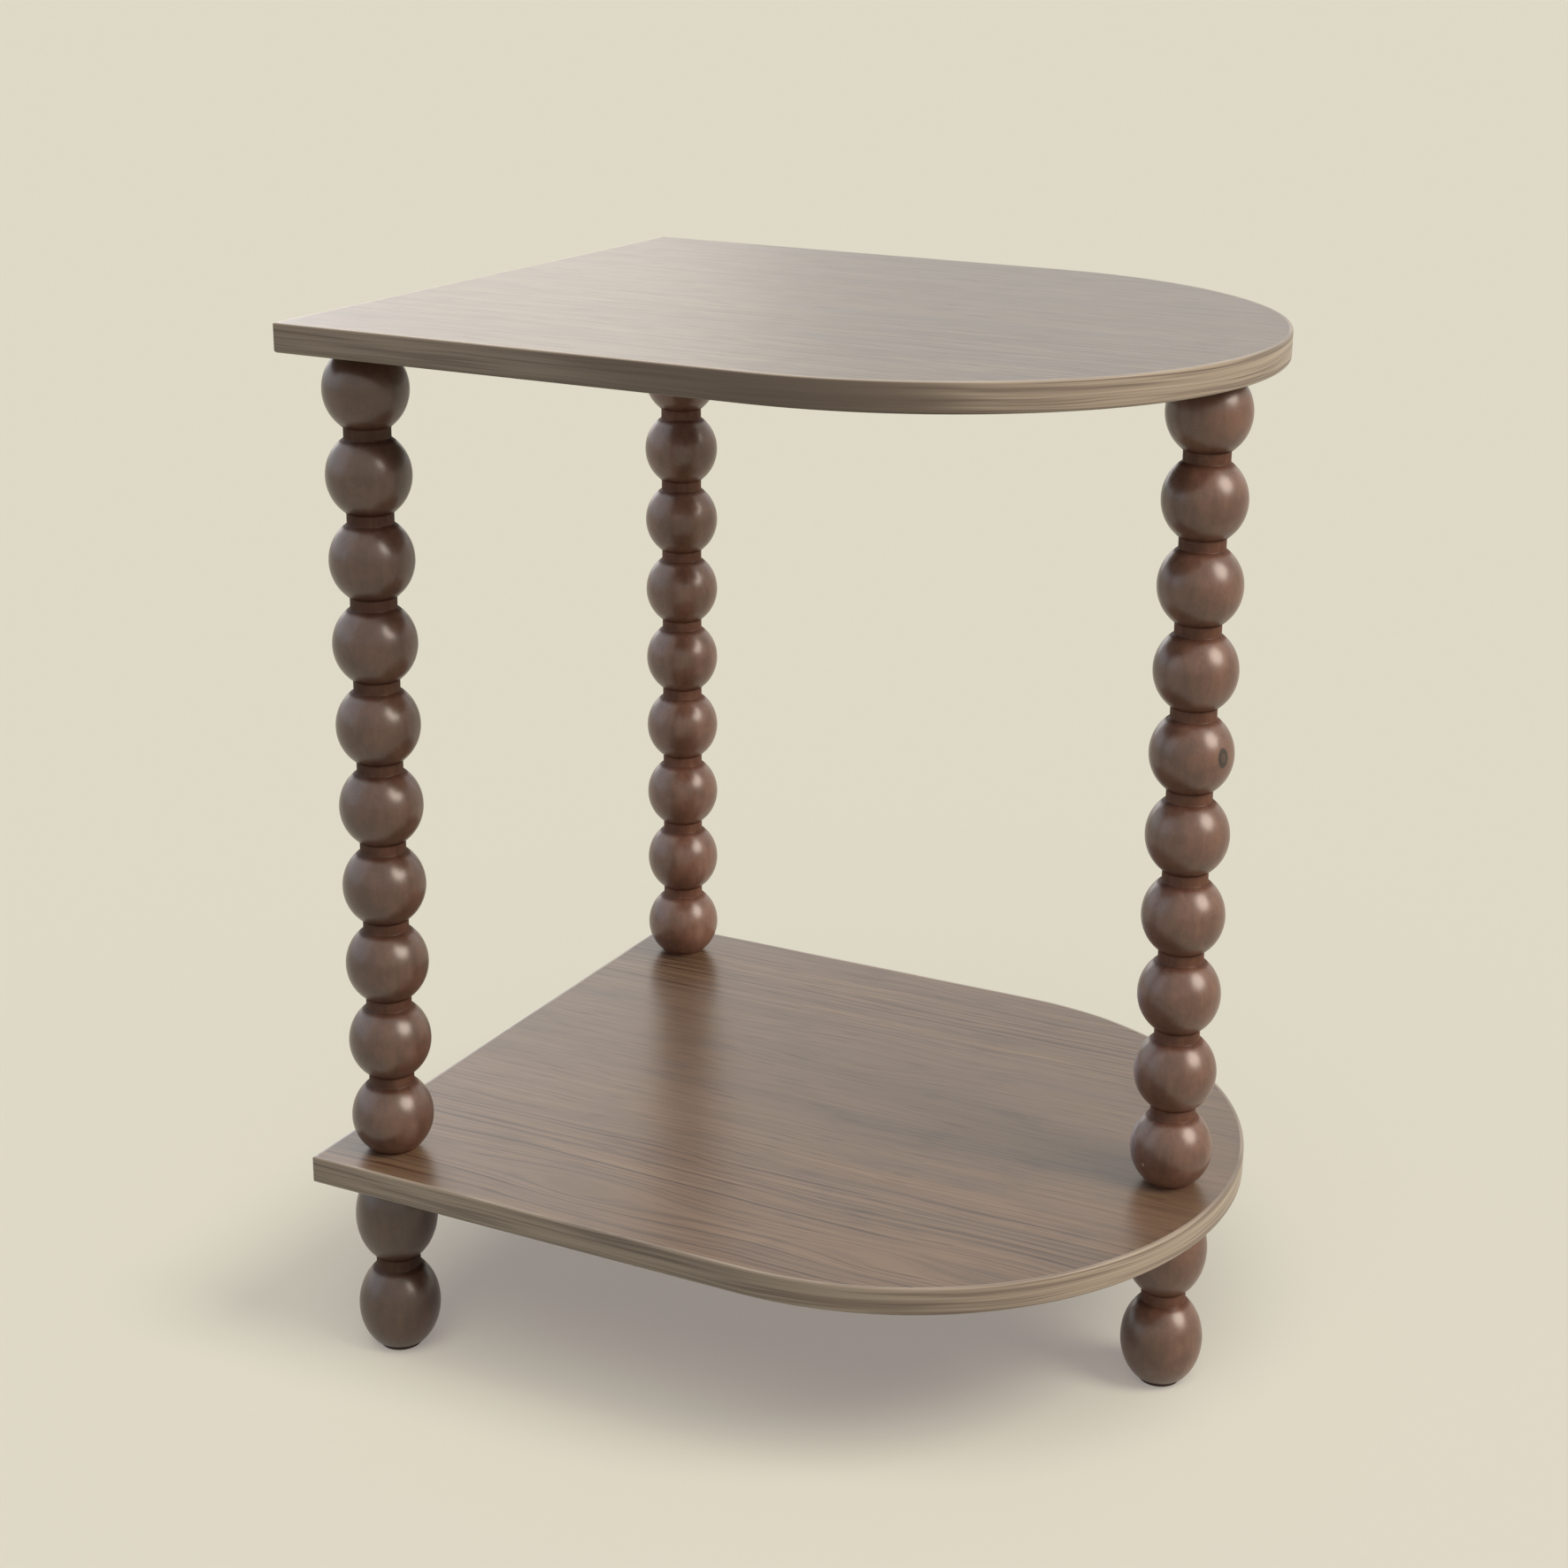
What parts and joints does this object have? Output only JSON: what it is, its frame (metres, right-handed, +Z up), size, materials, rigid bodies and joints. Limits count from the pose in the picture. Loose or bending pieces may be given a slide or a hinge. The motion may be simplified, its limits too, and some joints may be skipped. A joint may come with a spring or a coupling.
{
  "type": "side table",
  "caption": "Side table with one rounded end, a lower shelf of the same outline, beaded posts and turned feet.",
  "frame": {"origin": "on the floor, under the middle of the top's bounding box", "axes": "+Z up, +X along the boards towards the rounded end, -Y towards the front side"},
  "size_m": [0.45, 0.38, 0.5691],
  "materials": {
    "board_face": "walnut-effect melamine, satin",
    "edging": "wood-print edging strip, satin",
    "turned_wood": "brown stained, semi-gloss lacquer",
    "brass_insert": "plain turned",
    "steel_fastener": "bright zinc plated",
    "pad": "dark brown rubber, matt"
  },
  "bodies": {
    "root": {"top_board": "board_face", "top_side_band": "edging", "top_end_band": "edging", "shelf_board": "board_face", "shelf_side_band": "edging", "shelf_end_band": "edging", "post_front": "turned_wood", "post_back": "turned_wood", "post_round_end": "turned_wood", "foot_front": "turned_wood", "foot_back": "turned_wood", "foot_round_end": "turned_wood", "top_insert_front": "brass_insert", "top_insert_back": "brass_insert", "top_insert_round_end": "brass_insert", "post_insert_front": "brass_insert", "post_insert_back": "brass_insert", "post_insert_round_end": "brass_insert", "top_bolt_front": "steel_fastener", "top_bolt_back": "steel_fastener", "top_bolt_round_end": "steel_fastener", "shelf_bolt_front": "steel_fastener", "shelf_bolt_back": "steel_fastener", "shelf_bolt_round_end": "steel_fastener", "foot_pad_front": "pad", "foot_pad_back": "pad", "foot_pad_round_end": "pad"}
  },
  "joints": []
}
